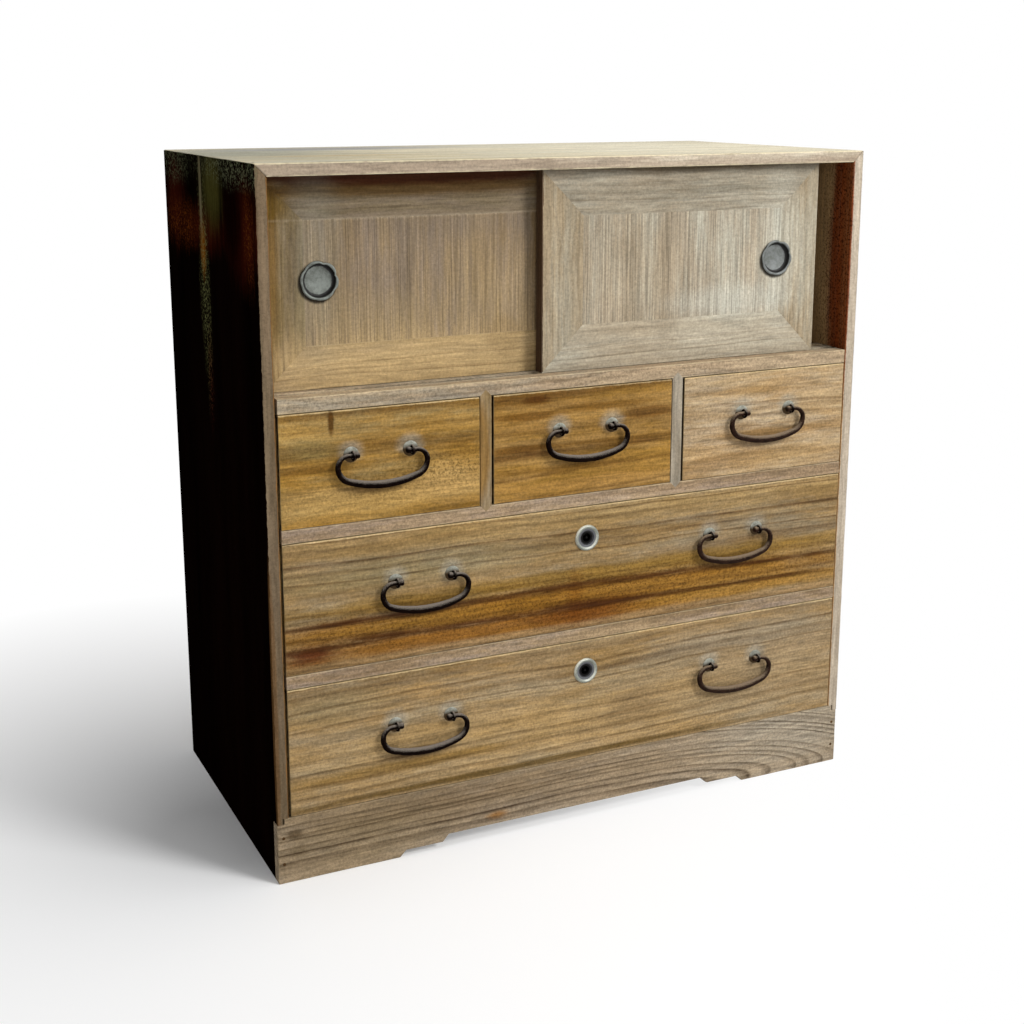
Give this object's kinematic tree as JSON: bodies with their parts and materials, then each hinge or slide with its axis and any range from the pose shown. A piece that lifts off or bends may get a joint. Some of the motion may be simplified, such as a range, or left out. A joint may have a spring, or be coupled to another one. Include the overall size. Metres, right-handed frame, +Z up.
{
  "type": "small tansu chest",
  "caption": "Small wooden Japanese chest: two sliding doors above, a row of small drawers, wide lockable drawers below, iron bail handles and a stepped plinth.",
  "frame": {"origin": "on the floor, under the middle of the whole box round the chest and its handles", "axes": "+Z up, the front with the doors and drawers faces -Y, +X to the right of someone facing the front"},
  "size_m": [0.612, 0.326, 0.64],
  "materials": {
    "case_face": "worn grey-brown softwood, hand planed",
    "case_dark": "near-black stained softwood, outside faces worn at the edges",
    "case_inner": "unfinished softwood, darkened",
    "door": "weathered driftwood grey, scrubbed grain",
    "drawer": "golden brown softwood, dry and lightly worn",
    "drawer_inner": "unfinished pale softwood",
    "plinth": "grey-tan softwood with strong dark growth lines",
    "peg": "dark hardwood pegs",
    "iron": "black forged iron, lightly rusted",
    "washer": "dull grey tinned plate",
    "pull": "dull silver-grey spun metal",
    "escutcheon": "tarnished grey-green metal with a polished rim",
    "lock": "dark iron lock"
  },
  "bodies": {
    "carcass": {"back_boards": "case_inner", "bottom_board": "case_inner", "cabinet_floor": "case_inner", "carcass_pegs": "peg", "divider_left": "case_face", "divider_right": "case_face", "dust_board_lower": "case_inner", "dust_board_upper": "case_inner", "plinth_back": "plinth", "plinth_front": "plinth", "rail_lower": "case_face", "rail_upper": "case_face", "side_left": "case_dark", "side_right": "case_dark", "sill_track": "case_face", "top_board": "case_face"},
    "door_left": {"door_left_frame": "door", "door_left_panel": "door", "door_left_pull": "pull"},
    "door_right": {"door_right_frame": "door", "door_right_panel": "door", "door_right_pull": "pull"},
    "drawer_small_left": {"small_left_bottom": "drawer_inner", "small_left_box": "drawer_inner", "small_left_eyes": "iron", "small_left_front": "drawer", "small_left_plates": "washer"},
    "small_left_bail": {"small_left_bail": "iron"},
    "drawer_small_middle": {"small_middle_bottom": "drawer_inner", "small_middle_box": "drawer_inner", "small_middle_eyes": "iron", "small_middle_front": "drawer", "small_middle_plates": "washer"},
    "small_middle_bail": {"small_middle_bail": "iron"},
    "drawer_small_right": {"small_right_bottom": "drawer_inner", "small_right_box": "drawer_inner", "small_right_eyes": "iron", "small_right_front": "drawer", "small_right_plates": "washer"},
    "small_right_bail": {"small_right_bail": "iron"},
    "drawer_upper": {"upper_bottom": "drawer_inner", "upper_box": "drawer_inner", "upper_escutcheon": "escutcheon", "upper_eyes": "iron", "upper_front": "drawer", "upper_lock_case": "lock", "upper_plates": "washer"},
    "upper_bail_left": {"upper_bail_left": "iron"},
    "upper_bail_right": {"upper_bail_right": "iron"},
    "upper_lock_bolt": {"upper_lock_bolt": "lock"},
    "drawer_lower": {"lower_bottom": "drawer_inner", "lower_box": "drawer_inner", "lower_escutcheon": "escutcheon", "lower_eyes": "iron", "lower_front": "drawer", "lower_lock_case": "lock", "lower_plates": "washer"},
    "lower_bail_left": {"lower_bail_left": "iron"},
    "lower_bail_right": {"lower_bail_right": "iron"},
    "lower_lock_bolt": {"lower_lock_bolt": "lock"}
  },
  "joints": [
    {"name": "door_left_slide", "type": "slide", "parent": "carcass", "child": "door_left", "axis": [1, 0, 0], "range_m": [0, 0.288]},
    {"name": "door_right_slide", "type": "slide", "parent": "carcass", "child": "door_right", "axis": [1, 0, 0], "range_m": [-0.2565, 0.0315]},
    {"name": "drawer_small_left_slide", "type": "slide", "parent": "carcass", "child": "drawer_small_left", "axis": [0, -1, 0], "range_m": [0, 0.245]},
    {"name": "small_left_bail_swing", "type": "hinge", "parent": "drawer_small_left", "child": "small_left_bail", "pos_m": [-0.20093, -0.1584, 0.39035], "axis": [-1, 0, 0], "range_deg": [-3.5, 175]},
    {"name": "drawer_small_middle_slide", "type": "slide", "parent": "carcass", "child": "drawer_small_middle", "axis": [0, -1, 0], "range_m": [0, 0.245]},
    {"name": "small_middle_bail_swing", "type": "hinge", "parent": "drawer_small_middle", "child": "small_middle_bail", "pos_m": [0.0016, -0.1584, 0.39235], "axis": [-1, 0, 0], "range_deg": [-3.5, 175]},
    {"name": "drawer_small_right_slide", "type": "slide", "parent": "carcass", "child": "drawer_small_right", "axis": [0, -1, 0], "range_m": [0, 0.245]},
    {"name": "small_right_bail_swing", "type": "hinge", "parent": "drawer_small_right", "child": "small_right_bail", "pos_m": [0.20103, -0.1584, 0.39095], "axis": [-1, 0, 0], "range_deg": [-3.5, 175]},
    {"name": "drawer_upper_slide", "type": "slide", "parent": "carcass", "child": "drawer_upper", "axis": [0, -1, 0], "range_m": [0, 0.245]},
    {"name": "upper_bail_left_swing", "type": "hinge", "parent": "drawer_upper", "child": "upper_bail_left", "pos_m": [-0.162, -0.1584, 0.26985], "axis": [-1, 0, 0], "range_deg": [-3.5, 175]},
    {"name": "upper_bail_right_swing", "type": "hinge", "parent": "drawer_upper", "child": "upper_bail_right", "pos_m": [0.1678, -0.1584, 0.27125], "axis": [-1, 0, 0], "range_deg": [-3.5, 175]},
    {"name": "upper_lock_bolt_slide", "type": "slide", "parent": "drawer_upper", "child": "upper_lock_bolt", "axis": [0, 0, 1], "range_m": [0, 0.007]},
    {"name": "drawer_lower_slide", "type": "slide", "parent": "carcass", "child": "drawer_lower", "axis": [0, -1, 0], "range_m": [0, 0.245]},
    {"name": "lower_bail_left_swing", "type": "hinge", "parent": "drawer_lower", "child": "lower_bail_left", "pos_m": [-0.1645, -0.1584, 0.13345], "axis": [-1, 0, 0], "range_deg": [-3.5, 175]},
    {"name": "lower_bail_right_swing", "type": "hinge", "parent": "drawer_lower", "child": "lower_bail_right", "pos_m": [0.172, -0.1584, 0.13445], "axis": [-1, 0, 0], "range_deg": [-3.5, 175]},
    {"name": "lower_lock_bolt_slide", "type": "slide", "parent": "drawer_lower", "child": "lower_lock_bolt", "axis": [0, 0, 1], "range_m": [0, 0.007]}
  ]
}
